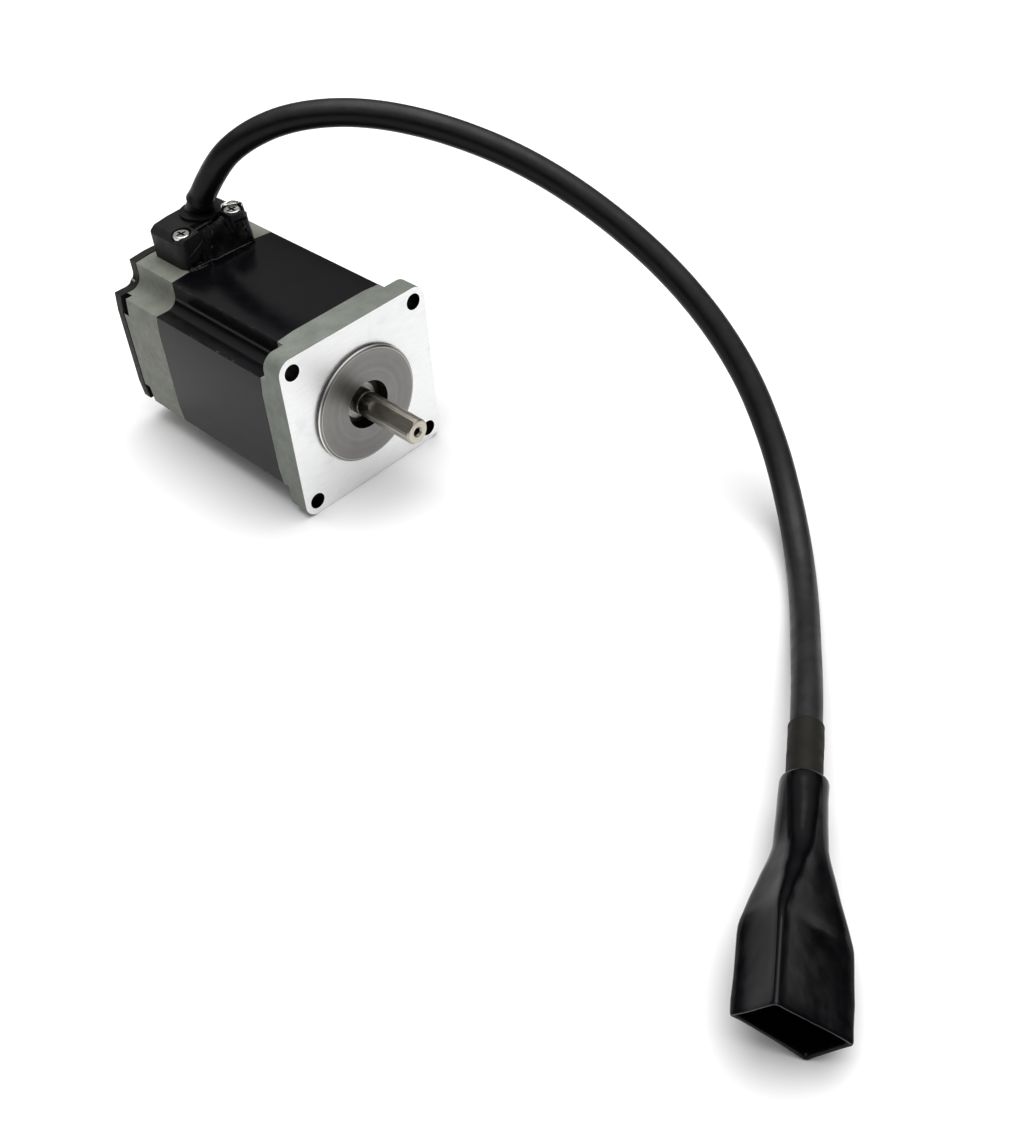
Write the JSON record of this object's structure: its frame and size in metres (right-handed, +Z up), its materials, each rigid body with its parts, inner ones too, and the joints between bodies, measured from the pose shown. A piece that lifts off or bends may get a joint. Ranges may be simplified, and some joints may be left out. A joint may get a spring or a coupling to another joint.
{
  "type": "stepper motor",
  "caption": "Square-frame hybrid stepper motor with a flatted output shaft, a top cable exit and a free cable ending in a connector boot.",
  "frame": {"origin": "centre of the mounting flange's front face, on the shaft axis", "axes": "the output shaft points along -Y, +Z is up through the terminal block, +X completes the right-handed frame"},
  "size_m": [0.1604, 0.3002, 0.1042],
  "materials": {
    "front_casting": "machined",
    "rear_casting": "cast",
    "stack_paint": "satin",
    "cover_paint": "satin",
    "gasket": "matte",
    "shaft_steel": "ground",
    "bearing_steel": "polished",
    "shield_steel": "pressed",
    "cage_steel": "pressed",
    "screw_steel": "nickel plated",
    "laminations": "stamped",
    "magnet": "matte",
    "copper": "enamelled",
    "insulator": "moulded",
    "board": "solder mask",
    "lead_insulation": "matte",
    "splice": "tinned",
    "block_plastic": "moulded",
    "potting": "glossy",
    "collar_rubber": "moulded",
    "cable_jacket": "satin",
    "sleeve_plastic": "shrunk",
    "boot_vinyl": "moulded",
    "plug_plastic": "moulded",
    "contact_brass": "plated"
  },
  "bodies": {
    "housing": {"front_bell": "front_casting", "stator_core": "stack_paint", "rear_bell": "rear_casting", "rear_cover": "cover_paint", "cover_gasket": "gasket", "through_bolts": "screw_steel", "front_insulator": "insulator", "rear_insulator": "insulator", "phase_a_coils": "copper", "phase_b_coils": "copper", "front_bearing_outer_ring": "bearing_steel", "front_bearing_shields": "shield_steel", "rear_bearing_outer_ring": "bearing_steel", "rear_bearing_shields": "shield_steel", "preload_washer": "bearing_steel", "connection_board": "board", "board_screws": "screw_steel", "phase_leads": "lead_insulation", "supply_leads": "lead_insulation", "splice_sleeves": "splice", "terminal_block": "block_plastic", "terminal_screws": "screw_steel", "terminal_washers": "screw_steel", "terminal_tab": "screw_steel", "potting_compound": "potting", "cable_collar": "collar_rubber", "cable": "cable_jacket", "heat_shrink_sleeve": "sleeve_plastic", "connector_boot": "boot_vinyl", "connector_housing": "plug_plastic", "connector_contacts": "contact_brass"},
    "rotor": {"shaft": "shaft_steel", "front_bearing_inner_ring": "bearing_steel", "rear_bearing_inner_ring": "bearing_steel", "rotor_cup_1": "laminations", "rotor_cup_2": "laminations", "rotor_cup_3": "laminations", "rotor_cup_4": "laminations", "rotor_magnet_1": "magnet", "rotor_magnet_2": "magnet", "rotor_spacer": "screw_steel"},
    "front_ball_set": {"front_bearing_balls": "bearing_steel", "front_bearing_cage": "cage_steel"},
    "rear_ball_set": {"rear_bearing_balls": "bearing_steel", "rear_bearing_cage": "cage_steel"}
  },
  "joints": [
    {"name": "shaft_spin", "type": "hinge", "parent": "housing", "child": "rotor", "pos_m": [0, 0, 0], "axis": [0, 1, 0], "continuous": true},
    {"name": "front_ball_spin", "type": "hinge", "parent": "housing", "child": "front_ball_set", "pos_m": [0, 0.0055, 0], "axis": [0, 1, 0], "continuous": true},
    {"name": "rear_ball_spin", "type": "hinge", "parent": "housing", "child": "rear_ball_set", "pos_m": [0, 0.0695, 0], "axis": [0, 1, 0], "continuous": true}
  ],
  "couplings": [
    {"joint": "front_ball_spin", "follows": "shaft_spin", "ratio": 0.3713},
    {"joint": "rear_ball_spin", "follows": "shaft_spin", "ratio": 0.3713}
  ]
}
